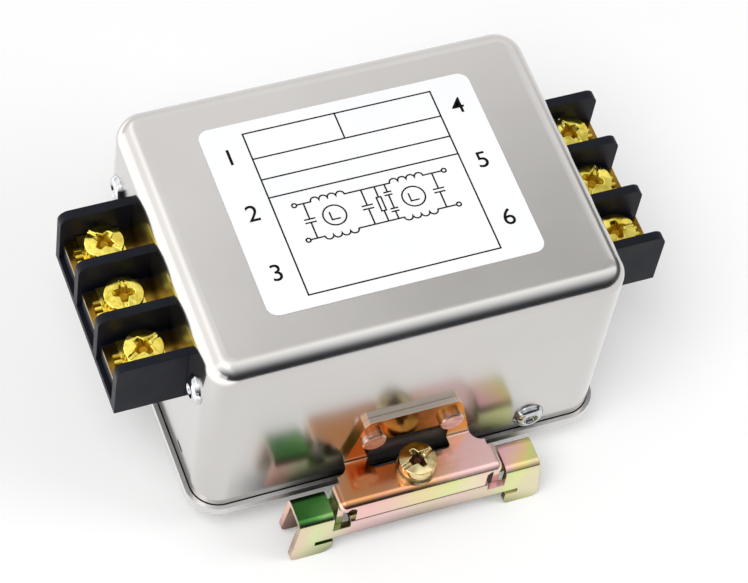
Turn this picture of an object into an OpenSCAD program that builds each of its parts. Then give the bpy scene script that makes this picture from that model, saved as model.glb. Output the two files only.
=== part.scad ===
// Two-stage EMI line filter in a drawn can, with a barrier terminal block at
// each end and a clip for 35 mm top-hat rail riveted to its front wall.
// Frame: X along the can from line side to load side, -Y towards the rail clip,
// +Z up. The origin is the middle of the base cover's underside.

/* [Can] */
// Length of the can
case_l = 74; // [70:1:90]
// Width of the can
case_w = 56; // [56:1:70]
// Height over the base cover
case_h = 44; // [44:1:60]
// Thickness of the can sheet
sheet_t = 0.6; // [0.5:0.1:0.8]
// Thickness of the cover sheet
cover_t = 0.75; // [0.6:0.05:0.9]
// Radius of the can's upright corners
corner_r = 5; // [4.5:0.5:6]
// Radius of the can's drawn top edge
edge_r = 3.6; // [2:0.2:4]
// Height of the base cover's lip
lip_h = 2.4; // [2:0.2:3]

/* [Terminal blocks] */
// Pitch of the poles
pole_pitch = 10.9; // [10.6:0.1:11]
// Length of a block across its three poles
block_l = 33; // [33:0.5:34]
// How far a block stands out of the can
block_d = 12.3; // [12:0.1:14]
// Height of a block
block_h = 12.6; // [12:0.1:14]
// Underside of a block above the base
block_z = 22.1; // [22:0.1:24]
// Thickness of a barrier wall
barrier_t = 1.7; // [1.4:0.1:2]
// Diameter of a terminal screw's head
head_d = 6.8; // [6.4:0.1:7]

/* [Rail clip] */
// Thickness of the clip sheet
clip_t = 1.2; // [1:0.1:1.4]
// How far the clip stands out of the front wall
clip_d = 9.8; // [9.4:0.1:11]
// Distance between the inner ends of the two rail slots
rail_gap = 37.8; // [37:0.1:38.5]
// Height of a rail slot
slot_h = 1.2; // [1.1:0.1:1.6]

/* [Filter] */
// Diameter of a choke core
core_d = 19; // [18:0.5:19]
// Height of a choke core
core_h = 10; // [8:0.5:11]
// Diameter of the winding wire
wire_d = 1; // [0.8:0.1:1]
// Turns of each winding
turns = 12; // [8:1:12]

/* [Hidden] */

$fn = 64;
eps = 0.01;
through = 40;            // longer than anything it cuts

wall_x = case_l / 2;     // outer face of an end wall
wall_y = case_w / 2;     // outer face of a long wall
inner_x = wall_x - sheet_t;
inner_y = wall_y - sheet_t;

// base cover
lip_gap = 0.15;
lip_out = cover_t + lip_gap;
lip_bend_r = 1.1;
detent_y = 17;
detent_z = 6.4;
detent_l = 2.6;
detent_h = 0.9;
tab_w = 6;
tab_top = 9;

// label
label_l = 49;
label_w = 38.4;
label_r = 3.6;
label_t = 0.15;
label_y = 0.5;

// terminal blocks
floor_z = block_z + 5.2;             // moulded floor under the strips
strip_t = 0.8;
strip_w = 7.6;
strip_end = 0.6;                     // strip stops short of the barrier edge
tail_w = 3;
tail_in = 5.4;                       // length of a tail behind the wall
bay_recess = 0.8;
ledge_h = 1.4;
barrier_r = 1.8;
fit = 0.1;                           // clearance round what passes a wall
flange_t = 2;
flange_l = 46;
screw_u = 5.8;                       // screw axis out from the wall
screw_d = 3.5;
collar_d = 5;
well_depth = 4.4;
head_h = 2.4;
plate_t = 1;
plate_w = 7.4;
rivet_y = 20.8;
rivet_z = 31;
rivet_d = 3.2;
flange_d = 5.3;                      // blind rivet flange

// rail clip
clip_bend = 1.5;                     // outside radius of a fold
front_y = -wall_y - clip_d;
saddle_z = 8.3;                      // top of the saddle plate
tongue_top = 19.6;
tongue_top_w = 17.8;
neck_w = 23;
neck_r = 2.2;
saddle_w = 30.2;
apron_w = 24;                        // front flange of the saddle
arch_z = 7.3;                        // top of the reliefs beside it
middle_z = 3.3;                      // top of the channel between the claws
window_w = 14.6;
window_top = 12.9;
saddle_rivet_x = 7.1;
saddle_rivet_z = 14.9;
rail_z = -1.1;                       // upper face of the rail
channel_d = 6.3;
claw_z = 5.7;                        // top of a claw
claw_bottom = -5.6;
claw_rear_bottom = -3.5;
claw_flare = 1;                      // how far a claw widens towards its foot
claw_roll = 1.3;                     // width of its rolled-back edge
claw_in = 15.9;
claw_out = 22.2;
hook_long = 3.4;
hook_short = 2.2;
notch_z = 1.4;
raised_w = 25.4;
wing_len = channel_d - 2 * clip_t;   // a saddle wing fits between the channel flanges
clamp_y = front_y + 4.2;
clamp_d = 3.5;

// filter
board_t = 1.6;
board_l = 66;
board_w = 44;
board_top = floor_z;
board_z = board_top - board_t;
bore_d = 11;
choke_x = 15;
winding_h = core_h + 2 * wire_d;
winding_z = board_z - winding_h / 2;
turn_step = 12.5;
x_cap = [6, 18, 11];
x_cap_x = 29;
x_pin = 7.5;
y_cap_d = 9;
y_cap_t = 4;
y_cap_y = 15.5;
y_pin = 3.75;
pin_d = 0.8;
pin_len = board_t + 1.2;
resistor_x = 20;
resistor_y = 17;
resistor_l = 9;
resistor_d = 3.2;
resistor_pin = 7;

// earth lead
earth_x = 23.6;
earth_z = 6;
tag_t = 0.8;
barrel_d = 2.8;
lead_d = 1.8;
lead_r = 2.4;
barrel_y = -inner_y + barrel_d / 2;
barrel_z = earth_z + 4;
barrel_h = 4.5;
pad_y = -20.4;

// ---------- shared forms ----------

module rounded_rect(l, w, r) {
  square([l - 2 * r, w], center = true);
  square([l, w - 2 * r], center = true);
  for (x = [-1, 1], y = [-1, 1])
    translate([x * (l / 2 - r), y * (w / 2 - r)]) circle(r);
}

// upright section with two rounded top corners, standing on the X axis
module round_top(w, h, r) {
  translate([-w / 2, 0]) square([w, h - r]);
  translate([-w / 2 + r, 0]) square([w - 2 * r, h]);
  for (s = [-1, 1]) translate([s * (w / 2 - r), h - r]) circle(r);
}

// deep-drawn block: upright corners of radius rc, top edge of radius re
module drawn_block(l, w, h, rc, re) {
  rotate([90, 0, 90]) linear_extrude(l - 2 * rc, center = true) round_top(w, h, re);
  rotate([90, 0, 0]) linear_extrude(w - 2 * rc, center = true) round_top(l, h, re);
  for (q = [0:3]) {
    sx = (q == 0 || q == 3) ? 1 : -1;
    sy = q < 2 ? 1 : -1;
    translate([sx * (l / 2 - rc), sy * (w / 2 - rc), 0]) rotate(q * 90)
      rotate_extrude(angle = 90) intersection() {
        square([rc, h]);
        round_top(2 * rc, h, re);
      }
  }
}

module at_load_end() { translate([wall_x, 0, 0]) children(); }
module at_line_end() { rotate(180) translate([wall_x, 0, 0]) children(); }
module at_both_ends() { at_load_end() children(); at_line_end() children(); }
module at_poles() { for (p = [-1:1]) translate([0, p * pole_pitch, 0]) children(); }

// section in the XZ plane of an end, drawn out along Y and centred on it
module across(length) { rotate([90, 0, 0]) linear_extrude(length, center = true) children(); }
// outline in the XZ plane, drawn from y towards the front by t
module front_plate(y, t) { translate([0, y, 0]) rotate([90, 0, 0]) linear_extrude(t) children(); }

// quarter fold of sheet: outside radius r, in the first quadrant of its own XY
module fold(r, t) {
  intersection() {
    difference() { circle(r); circle(r - t); }
    square(r);
  }
}

// ---------- can, cover and label ----------

module drawn_can() {
  color("#b9b6b0") difference() {
    translate([0, 0, cover_t])
      drawn_block(case_l, case_w, case_h - cover_t, corner_r, edge_r);
    translate([0, 0, -1])
      drawn_block(2 * inner_x, 2 * inner_y, case_h - sheet_t + 1,
        corner_r - sheet_t, edge_r - sheet_t);
    at_both_ends() {
      block_passage();
      for (s = [-1, 1]) {
        translate([0, s * rivet_y, rivet_z]) rotate([0, 90, 0]) cylinder(d = rivet_d, h = 4, center = true);
        translate([0, s * detent_y, detent_z]) rotate([90, 0, 90])
          linear_extrude(4, center = true) rounded_rect(detent_l, detent_h, 0.4);
      }
    }
    for (s = [-1, 1]) translate([s * saddle_rivet_x, -wall_y, saddle_rivet_z])
      rotate([90, 0, 0]) cylinder(d = rivet_d, h = 4, center = true);
    translate([earth_x, -wall_y, earth_z]) rotate([90, 0, 0]) cylinder(d = rivet_d, h = 4, center = true);
  }
}

// comb-shaped opening through an end wall, which the block is pushed through
module block_passage() {
  translate([-2, -block_l / 2 - fit, block_z - fit])
    cube([4, block_l + 2 * fit, floor_z - block_z + strip_t + 2 * fit]);
  for (y = barrier_ys()) translate([-2, y - barrier_t / 2 - fit, block_z])
    cube([4, barrier_t + 2 * fit, block_h + fit]);
}

module base_cover() {
  color("#c4c2bd") {
    difference() {
      translate([0, 0, lip_h]) mirror([0, 0, 1])
        drawn_block(case_l + 2 * lip_out, case_w + 2 * lip_out, lip_h, corner_r + lip_out, lip_bend_r);
      translate([0, 0, cover_t]) linear_extrude(lip_h)
        rounded_rect(case_l + 2 * lip_gap, case_w + 2 * lip_gap, corner_r + lip_gap);
    }
    at_both_ends() for (s = [-1, 1]) translate([-2 * sheet_t, s * detent_y, 0]) {
      translate([0, -tab_w / 2, sheet_t / 2]) cube([sheet_t, tab_w, tab_top - sheet_t / 2]);
      translate([sheet_t / 2, -detent_l / 2 + 0.2, detent_z - detent_h / 2 + 0.1])
        cube([sheet_t, detent_l - 0.4, detent_h - 0.2]);
    }
  }
}

module rating_label() {
  color("white") translate([0, label_y, case_h]) linear_extrude(label_t) rounded_rect(label_l, label_w, label_r);
}

// ---------- terminal blocks ----------

function barrier_ys() = [-block_l / 2 + barrier_t / 2, -pole_pitch / 2, pole_pitch / 2, block_l / 2 - barrier_t / 2];

module barrier_section() {
  translate([-sheet_t - flange_t, block_z]) {
    square([block_d + sheet_t + flange_t, block_h - barrier_r]);
    square([block_d + sheet_t + flange_t - barrier_r, block_h]);
  }
  translate([block_d - barrier_r, block_z + block_h - barrier_r]) circle(barrier_r);
}

module floor_section() {
  depth = sheet_t + flange_t;
  translate([-depth, block_z]) square([block_d + depth - bay_recess, floor_z - block_z]);
  translate([-depth, block_z]) square([block_d + depth, ledge_h]);
}

module terminal_block() {
  color("#23242c") difference() {
    union() {
      across(block_l) floor_section();
      for (y = barrier_ys()) translate([0, y, 0]) across(barrier_t) barrier_section();
      translate([-sheet_t - flange_t, -flange_l / 2, block_z]) cube([flange_t, flange_l, block_h]);
    }
    at_poles() {
      translate([screw_u, 0, floor_z - well_depth]) cylinder(d = collar_d + 0.2, h = well_depth + 1);
      translate([-through / 2, -tail_w / 2 - fit, floor_z])
        cube([through / 2, tail_w + 2 * fit, strip_t + fit]);
    }
    for (s = [-1, 1]) translate([-2, s * rivet_y, rivet_z])
      rotate([0, 90, 0]) cylinder(d = rivet_d, h = 6, center = true);
  }
}

module line_terminal_block() { at_line_end() terminal_block(); }
module load_terminal_block() { at_load_end() terminal_block(); }

// brass strip of one pole: contact floor, tapped collar and solder tail
module pole_strip() {
  color("#c9a94e") translate([0, 0, floor_z]) difference() {
    union() {
      translate([0, -strip_w / 2, 0]) cube([block_d - bay_recess + 0.2, strip_w, strip_t]);
      translate([-tail_in, -tail_w / 2, 0]) cube([tail_in + 1, tail_w, strip_t]);
      translate([screw_u, 0, -1.4]) cylinder(d = collar_d, h = 1.4 + strip_t / 2);
    }
    translate([screw_u, 0, -2]) cylinder(d = screw_d, h = 4);
  }
}

module pole(p) { translate([0, p * pole_pitch, 0]) pole_strip(); }
module line_phase_strip() { at_line_end() pole(-1); }
module line_earth_strip() { at_line_end() pole(0); }
module line_neutral_strip() { at_line_end() pole(1); }
module load_phase_strip() { at_load_end() pole(1); }
module load_earth_strip() { at_load_end() pole(0); }
module load_neutral_strip() { at_load_end() pole(-1); }

// square clamp plate with one wire groove across each half of its underside
module clamp_plate() {
  difference() {
    translate([-plate_w / 2, -plate_w / 2, 0]) cube([plate_w, plate_w, plate_t]);
    cylinder(d = screw_d + 0.3, h = 3, center = true);
    for (s = [-1, 1]) translate([0, s * plate_w * 0.36, -0.35])
      rotate([0, 90, 0]) cylinder(r = 0.7, h = plate_w + 1, center = true, $fn = 24);
    translate([-plate_w / 2 - 1, -0.25, plate_t - 0.3]) cube([plate_w + 2, 0.5, 1]);
  }
}

module wire_clamp_plates() {
  color("#d8bf62") at_both_ends() at_poles() translate([screw_u, 0, floor_z + strip_t]) clamp_plate();
}

// pan head with a tapered cross recess and a slot, the underside of the head at z = 0
module pan_head(d, h, recess) {
  edge = 0.9;
  difference() {
    rotate_extrude() intersection() {
      square([d / 2, h]);
      translate([0, h - 1.2 * d]) circle(1.2 * d, $fn = 128);
      union() {
        square([d / 2, h - edge]);
        square([d / 2 - edge, h]);
        translate([d / 2 - edge, h - edge]) circle(edge);
      }
    }
    intersection() {
      translate([0, 0, h - recess]) cylinder(d1 = d * 0.24, d2 = d * 0.72, h = recess + 0.4);
      for (a = [45, 135]) rotate(a) translate([0, 0, h - recess - 1]) linear_extrude(recess + 2)
        square([d, d * 0.19], center = true);
    }
    rotate(45) translate([-d, -0.4, h - 0.75]) cube([2 * d, 0.8, 2]);
  }
}

module terminal_screws() {
  color("#d9c063") at_both_ends() at_poles() translate([screw_u, 0, floor_z + strip_t + plate_t]) {
    pan_head(head_d, head_h, 1.4);
    translate([0, 0, -5]) cylinder(d = screw_d - 0.02, h = 5 + eps);
  }
}

// blind rivet: flange outside at z > 0, body and upset tail through grip
module blind_rivet(grip) {
  difference() {
    union() {
      rotate_extrude() intersection() {
        square([flange_d / 2, 1]);
        translate([0, 0.9 - 5]) circle(5, $fn = 128);
      }
      translate([0, 0, -grip - 2.6]) cylinder(d = rivet_d - 0.1, h = grip + 2.65);
      translate([0, 0, -grip - 2]) rotate_extrude() {
        square([2.1, 2]);
      }
    }
    translate([0, 0, -0.6]) cylinder(d = 1.7, h = 3);
  }
}

module block_rivets() {
  color("#d4d4d4") at_both_ends() for (s = [-1, 1])
    translate([0, s * rivet_y, rivet_z]) rotate([0, 90, 0]) blind_rivet(sheet_t + flange_t);
}

// ---------- rail clip ----------

module saddle_plan() {
  rear_y = front_y + channel_d;
  half = saddle_w / 2 - clip_bend;
  translate([-half, front_y + clip_bend]) square([2 * half, channel_d - clip_bend]);
  translate([-neck_w / 2, rear_y - eps]) square([neck_w, -wall_y - clip_bend - rear_y + eps]);
  for (s = [-1, 1]) difference() {
    translate([s > 0 ? neck_w / 2 - eps : -neck_w / 2 - neck_r + eps, rear_y - eps]) square(neck_r);
    translate([s * (neck_w / 2 + neck_r), rear_y + neck_r]) circle(neck_r);
  }
}

module tongue_outline() {
  r = 1;
  bend_z = saddle_z - clip_t + clip_bend;
  polygon([[-neck_w / 2, bend_z], [neck_w / 2, bend_z],
    [tongue_top_w / 2, tongue_top - r], [tongue_top_w / 2 - r * 0.9, tongue_top],
    [-tongue_top_w / 2 + r * 0.9, tongue_top], [-tongue_top_w / 2, tongue_top - r]]);
}

// relief beside the apron, with a round top
module corner_arch() {
  r = (saddle_w / 2 - clip_t - apron_w / 2) / 2;
  translate([apron_w / 2, 0]) square([2 * r, arch_z - r]);
  translate([apron_w / 2 + r, arch_z - r]) circle(r);
}

module window_plan() {
  r = 0.8;
  rear_y = front_y + channel_d;
  translate([-window_w / 2 + r, rear_y]) square([window_w - 2 * r, clip_d]);
  translate([-window_w / 2, rear_y + r]) square([window_w, clip_d]);
  for (s = [-1, 1]) translate([s * (window_w / 2 - r), rear_y + r]) circle(r);
}

module rail_saddle() {
  half = saddle_w / 2 - clip_bend;
  fold_z = saddle_z - clip_bend;
  color("#c98a4b") difference() {
    union() {
      // tongue against the can wall
      front_plate(-wall_y, clip_t) tongue_outline();
      // upward fold between plate and tongue
      translate([0, -wall_y - clip_bend, saddle_z - clip_t + clip_bend])
        rotate([90, 0, 90]) linear_extrude(neck_w, center = true) mirror([0, 1]) fold(clip_bend, clip_t);
      // plate
      translate([0, 0, saddle_z - clip_t]) linear_extrude(clip_t) saddle_plan();
      // front fold and apron
      translate([0, front_y + clip_bend, fold_z])
        rotate([90, 0, 90]) linear_extrude(2 * half, center = true) mirror([1, 0]) fold(clip_bend, clip_t);
      translate([-apron_w / 2, front_y, middle_z]) cube([apron_w, clip_t, fold_z - middle_z]);
      // drawn corners and the wings that press on the rail
      for (m = [0, 1]) mirror([m, 0, 0]) {
        translate([half, front_y + clip_bend, fold_z]) rotate(-90) rotate_extrude(angle = 90) fold(clip_bend, clip_t);
        translate([half, front_y + clip_t + wing_len, fold_z])
          rotate([90, 0, 0]) linear_extrude(wing_len - clip_bend + clip_t) fold(clip_bend, clip_t);
        translate([saddle_w / 2 - clip_t, front_y + clip_t, rail_z]) cube([clip_t, wing_len, fold_z - rail_z]);
      }
    }
    for (m = [0, 1]) mirror([m, 0, 0]) front_plate(front_y + clip_t, 2 * clip_t) corner_arch();
    // window across the rear fold
    linear_extrude(window_top) window_plan();
    // rivets and clamp screw
    for (s = [-1, 1]) translate([s * saddle_rivet_x, -wall_y, saddle_rivet_z])
      rotate([90, 0, 0]) cylinder(d = rivet_d, h = 6, center = true);
    translate([0, clamp_y, 0]) cylinder(d = clamp_d + 0.3, h = through);
  }
}

// outline of a channel flange, seen from the front, with its claws down to bottom
module channel_outline(bottom) {
  difference() {
    union() {
      translate([-claw_out, rail_z]) square([2 * claw_out, notch_z - rail_z]);
      translate([-raised_w / 2, rail_z]) square([raised_w, middle_z - rail_z]);
      claw_outline(-1, hook_long, 2.4, bottom);
      claw_outline(1, hook_short, 1.2, bottom);
    }
    for (s = [-1, 1]) {
      len = s < 0 ? hook_long + 2 : hook_short + 2;
      translate([s > 0 ? rail_gap / 2 - len : -rail_gap / 2, rail_z - slot_h]) square([len, slot_h]);
    }
  }
}

// one claw: flared outer edge, rounded foot and a hook whose tip has radius r
module claw_outline(s, hook, r, bottom) {
  tip = rail_gap / 2 - hook;
  foot = bottom == claw_bottom ? 1.5 : 1.1;
  r_tip = min(r, (rail_z - slot_h - bottom) * 0.95);
  wide = claw_out + claw_flare;
  top = claw_z - clip_bend;
  mirror([s > 0 ? 0 : 1, 0]) {
    translate([claw_in, rail_z]) square([claw_out - claw_in, claw_z - rail_z]);
    polygon([[claw_out - 2, top], [claw_out, top], [wide, bottom + foot], [claw_out - 2, bottom + foot]]);
    translate([tip + r_tip, bottom]) square([wide - tip - r_tip - foot, rail_z - bottom]);
    translate([wide - foot, bottom + foot]) circle(foot);
    translate([tip, bottom + r_tip]) square([r_tip + eps, rail_z - bottom - r_tip]);
    translate([tip + r_tip, bottom + r_tip]) circle(r_tip);
  }
}

// U section of the channel, open downwards, with its top at z
module channel_section(z) {
  depth = claw_bottom - 1;
  difference() {
    translate([0, depth]) round_top(channel_d, z - depth, clip_bend);
    translate([0, depth - 1]) round_top(channel_d - 2 * clip_t, z - clip_t - depth + 1, clip_bend - clip_t);
  }
}

module rail_claw_channel() {
  mid_y = front_y + channel_d / 2;
  lean = atan2(claw_flare, claw_z - clip_bend - claw_bottom - 1.5);
  color("#b9b98a") difference() {
    intersection() {
      union() {
        front_plate(mid_y, channel_d) channel_outline(claw_bottom);
        front_plate(mid_y + channel_d, channel_d) channel_outline(claw_rear_bottom);
      }
      union() {
        for (s = [-1, 1]) translate([s * (claw_in + claw_out) / 2, mid_y, 0])
          rotate([90, 0, 90]) linear_extrude(claw_out - claw_in + 2 * claw_flare + 2, center = true)
            channel_section(claw_z);
        translate([0, mid_y, 0]) rotate([90, 0, 90])
          linear_extrude(2 * claw_in, center = true) channel_section(middle_z);
      }
    }
    // front outer edges, ground back so that they roll round towards the foot
    for (m = [0, 1]) mirror([m, 0, 0]) translate([claw_out, front_y, claw_z - clip_bend])
      rotate([0, -lean, 0]) rotate([0, 0, 40]) translate([-3, -5, -through]) cube([6, 5, through - 0.4]);
    // clearance for the saddle wings
    for (s = [-1, 1]) translate([s > 0 ? raised_w / 2 : -claw_in, 0, 0]) {
      translate([0, front_y - 1, notch_z]) cube([claw_in - raised_w / 2, channel_d + 2, 10]);
      translate([0, front_y + clip_t - eps, rail_z - 1])
        cube([claw_in - raised_w / 2, channel_d - 2 * clip_t + 2 * eps, 10]);
    }
    translate([0, clamp_y, rail_z - 1]) cylinder(d = clamp_d, h = 10);
  }
}

module saddle_rivets() {
  color("#c9a0a0") for (s = [-1, 1]) translate([s * saddle_rivet_x, -wall_y - clip_t, saddle_rivet_z])
    rotate([90, 0, 0]) {
      linear_extrude(1) circle(d = 4.4);
      translate([0, 0, 1 - eps]) cylinder(d1 = 4.4, d2 = 4, h = 0.2 + eps);
      translate([0, 0, -clip_t - sheet_t - eps]) cylinder(d = rivet_d - 0.04, h = clip_t + sheet_t + 0.02);
      translate([0, 0, -clip_t - sheet_t - 1]) cylinder(d = 4.6, h = 1);
    }
}

module rail_lock_washer() {
  color("#a8a8a0") translate([0, clamp_y, saddle_z]) difference() {
    cylinder(d = 7, h = 0.7);
    cylinder(d = clamp_d + 0.3, h = 3, center = true);
    translate([0, 2.6, 0.35]) rotate([0, 20, 0]) cube([0.4, 3, 3], center = true);
  }
}

module rail_clamp_screw() {
  color("#bfae7a") translate([0, clamp_y, saddle_z + 0.7]) {
    pan_head(6.6, 2.4, 1.5);
    translate([0, 0, -9.4]) cylinder(d = clamp_d - 0.02, h = 9.4 + eps);
  }
}

// ---------- filter parts inside the can ----------

module pin(x, y) { translate([x, y, board_z - 0.5]) cylinder(d = pin_d, h = pin_len + 0.5, $fn = 24); }
module pin_hole(x, y, d) { translate([x, y, board_z - 1]) cylinder(d = d + 0.1, h = 4, $fn = 24); }

function lead_at(s, a) = [s * choke_x + (core_d / 2 + wire_d / 2) * cos(a), (core_d / 2 + wire_d / 2) * sin(a)];
first_a = 90 - turn_step * (turns - 1) / 2;
lead_angles = [first_a, 180 - first_a, 180 + first_a, 360 - first_a];

module circuit_board() {
  color("#2f6b45") difference() {
    translate([0, 0, board_z]) linear_extrude(board_t) rounded_rect(board_l, board_w, 2);
    for (s = [-1, 1], a = lead_angles) pin_hole(lead_at(s, a)[0], lead_at(s, a)[1], wire_d);
    for (x = [-x_cap_x, 0, x_cap_x], s = [-1, 1]) pin_hole(x, s * x_pin, pin_d);
    for (s = [-1, 1], p = [-1, 1]) pin_hole(0, s * y_cap_y + p * y_pin, pin_d);
    for (p = [-1, 1]) pin_hole(resistor_x + p * resistor_pin, resistor_y, pin_d);
    pin_hole(earth_x, pad_y, lead_d);
  }
}

module choke_core(s) {
  color("#3f6f52") translate([s * choke_x, 0, winding_z]) rotate_extrude()
    translate([(core_d + bore_d) / 4, 0]) rounded_rect((core_d - bore_d) / 2, core_h, 0.6);
}

// one winding: side 1 over the rear half of the core, -1 over the front half
module winding(s, side) {
  ring_w = (core_d - bore_d) / 2 + 0.2;
  color("#b5651d") {
    translate([s * choke_x, 0, winding_z]) for (i = [0:turns - 1])
      rotate(side * (first_a + i * turn_step)) translate([(core_d + bore_d) / 4, 0, 0])
        rotate([90, 0, 0]) linear_extrude(wire_d, center = true) difference() {
          rounded_rect(ring_w + 2 * wire_d, winding_h, wire_d);
          square([ring_w, core_h], center = true);
        }
    for (a = [first_a, 180 - first_a]) {
      p = lead_at(s, side * a);
      translate([p[0], p[1], board_z - 2]) cylinder(d = wire_d, h = board_t + 3, $fn = 24);
    }
  }
}

module line_choke_core() { choke_core(-1); }
module load_choke_core() { choke_core(1); }
module line_choke_phase_winding() { winding(-1, 1); }
module line_choke_neutral_winding() { winding(-1, -1); }
module load_choke_phase_winding() { winding(1, 1); }
module load_choke_neutral_winding() { winding(1, -1); }

module x_capacitor(x) {
  color("#d9b23a") {
    translate([x, 0, board_z - x_cap[2]]) linear_extrude(x_cap[2]) rounded_rect(x_cap[0], x_cap[1], 0.6);
    for (s = [-1, 1]) pin(x, s * x_pin);
  }
}

module line_x_capacitor() { x_capacitor(-x_cap_x); }
module middle_x_capacitor() { x_capacitor(0); }
module load_x_capacitor() { x_capacitor(x_cap_x); }

// disc capacitor, standing in the YZ plane with its lacquer against the board
module y_capacitor(s) {
  color("#3d6fb0") {
    translate([0, s * y_cap_y, board_z - y_cap_d / 2]) rotate([0, 90, 0]) rotate_extrude() intersection() {
      translate([0, -y_cap_t / 2]) square([y_cap_d / 2, y_cap_t]);
      rounded_rect(y_cap_d, y_cap_t, 1.4);
    }
    for (p = [-1, 1]) translate([0, s * y_cap_y + p * y_pin, board_z - 3])
      cylinder(d = pin_d, h = 3 + pin_len, $fn = 24);
  }
}

module phase_y_capacitor() { y_capacitor(1); }
module neutral_y_capacitor() { y_capacitor(-1); }

module bleed_resistor() {
  axis_z = board_z - resistor_d / 2;
  color("#cdb28a") translate([resistor_x, resistor_y, 0]) {
    translate([0, 0, axis_z]) rotate([0, 90, 0]) rotate_extrude() intersection() {
      translate([0, -resistor_l / 2]) square([resistor_d / 2, resistor_l]);
      rounded_rect(resistor_d, resistor_l, 0.7);
    }
    translate([0, 0, axis_z]) rotate([0, 90, 0])
      cylinder(d = pin_d, h = 2 * resistor_pin, center = true, $fn = 24);
    for (s = [-1, 1]) translate([s * resistor_pin, 0, axis_z]) {
      sphere(d = pin_d, $fn = 24);
      cylinder(d = pin_d, h = board_top - axis_z + 1, $fn = 24);
    }
  }
}

// ---------- earth connection ----------

module quarter_bend(a) {
  rotate([0, 0, 90]) rotate([90, 0, 0]) rotate(a) rotate_extrude(angle = 90)
    translate([lead_r, 0]) circle(d = lead_d);
}

module earth_lead() {
  rise = barrel_z + barrel_h - 1;
  shift = pad_y - barrel_y;
  run = shift - 2 * lead_r;
  straight = (board_z - rise - 2 * lead_r) / 2;
  color("#5c9a3c") translate([earth_x, barrel_y, rise]) {
    cylinder(d = lead_d, h = straight);
    translate([0, lead_r, straight]) quarter_bend(90);
    translate([0, lead_r, straight + lead_r]) rotate([-90, 0, 0]) cylinder(d = lead_d, h = run);
    translate([0, shift - lead_r, straight + 2 * lead_r]) quarter_bend(-90);
    translate([0, shift, straight + 2 * lead_r]) cylinder(d = lead_d, h = straight + board_t + 1);
  }
}

module earth_ring_tag() {
  color("#c8c8c8") {
    translate([earth_x, -inner_y + tag_t, earth_z]) rotate([90, 0, 0]) linear_extrude(tag_t) difference() {
      union() {
        circle(d = 7);
        translate([-1.4, 0]) square([2.8, barrel_z - earth_z + 0.2]);
      }
      circle(d = rivet_d);
    }
    translate([earth_x, barrel_y, barrel_z]) difference() {
      cylinder(d = barrel_d, h = barrel_h);
      translate([0, 0, barrel_h - 1]) cylinder(d = lead_d, h = 2);
    }
  }
}

module earth_rivet() {
  color("#d4d4d4") translate([earth_x, -wall_y, earth_z]) rotate([90, 0, 0]) blind_rivet(sheet_t + tag_t);
}

drawn_can();
base_cover();
rating_label();
line_terminal_block();
load_terminal_block();
line_phase_strip();
line_earth_strip();
line_neutral_strip();
load_phase_strip();
load_earth_strip();
load_neutral_strip();
wire_clamp_plates();
terminal_screws();
block_rivets();
rail_saddle();
rail_claw_channel();
saddle_rivets();
rail_clamp_screw();
rail_lock_washer();
circuit_board();
line_choke_core();
load_choke_core();
line_choke_phase_winding();
line_choke_neutral_winding();
load_choke_phase_winding();
load_choke_neutral_winding();
line_x_capacitor();
middle_x_capacitor();
load_x_capacitor();
phase_y_capacitor();
neutral_y_capacitor();
bleed_resistor();
earth_lead();
earth_ring_tag();
earth_rivet();
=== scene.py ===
import math

import bmesh
import bpy
from mathutils import Euler, Matrix, Vector


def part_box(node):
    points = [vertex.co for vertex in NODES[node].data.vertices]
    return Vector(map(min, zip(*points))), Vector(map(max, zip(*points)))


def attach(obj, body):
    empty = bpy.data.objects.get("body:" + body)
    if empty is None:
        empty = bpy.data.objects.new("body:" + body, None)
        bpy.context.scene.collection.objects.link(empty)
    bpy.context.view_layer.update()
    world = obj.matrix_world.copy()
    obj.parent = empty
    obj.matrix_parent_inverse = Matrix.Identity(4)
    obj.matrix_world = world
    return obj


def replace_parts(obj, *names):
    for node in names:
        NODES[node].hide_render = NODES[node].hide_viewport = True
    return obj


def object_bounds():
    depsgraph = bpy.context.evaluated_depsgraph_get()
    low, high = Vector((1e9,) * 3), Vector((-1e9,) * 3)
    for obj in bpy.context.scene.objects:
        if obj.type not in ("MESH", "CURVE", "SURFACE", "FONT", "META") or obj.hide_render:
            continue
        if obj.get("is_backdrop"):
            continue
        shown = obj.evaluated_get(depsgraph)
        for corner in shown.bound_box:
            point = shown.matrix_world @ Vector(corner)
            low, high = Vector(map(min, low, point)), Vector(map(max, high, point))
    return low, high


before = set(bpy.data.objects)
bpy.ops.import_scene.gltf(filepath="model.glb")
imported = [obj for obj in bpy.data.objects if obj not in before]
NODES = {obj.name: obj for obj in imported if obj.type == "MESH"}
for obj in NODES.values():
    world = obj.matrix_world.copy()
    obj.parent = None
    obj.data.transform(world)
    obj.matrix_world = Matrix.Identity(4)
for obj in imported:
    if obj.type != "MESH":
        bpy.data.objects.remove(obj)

bl_info = {
    "name": "EMI Line Filter",
    "version": (1, 0, 0),
    "blender": (4, 5, 0),
    "location": "View3D > Sidebar > Line Filter",
    "description": "Finishes, label print and screws of a drawn-can EMI line filter on a rail clip",
    "category": "Object",
}

BODY = "root"
MM = 0.001
WHITE = "#FFFFFF"
# a pan head's dome radius as a multiple of its diameter, and the radius of its shoulder
HEAD_DOME = 2.6
HEAD_SHOULDER = 0.55 * MM
# the cards that only polished metal sees: how far out they stand and how high they reach, in metres
CARD_REACH = 0.9
CARD_TOP = 0.4


# ---------------------------------------------------------------- sizes and colours

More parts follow.
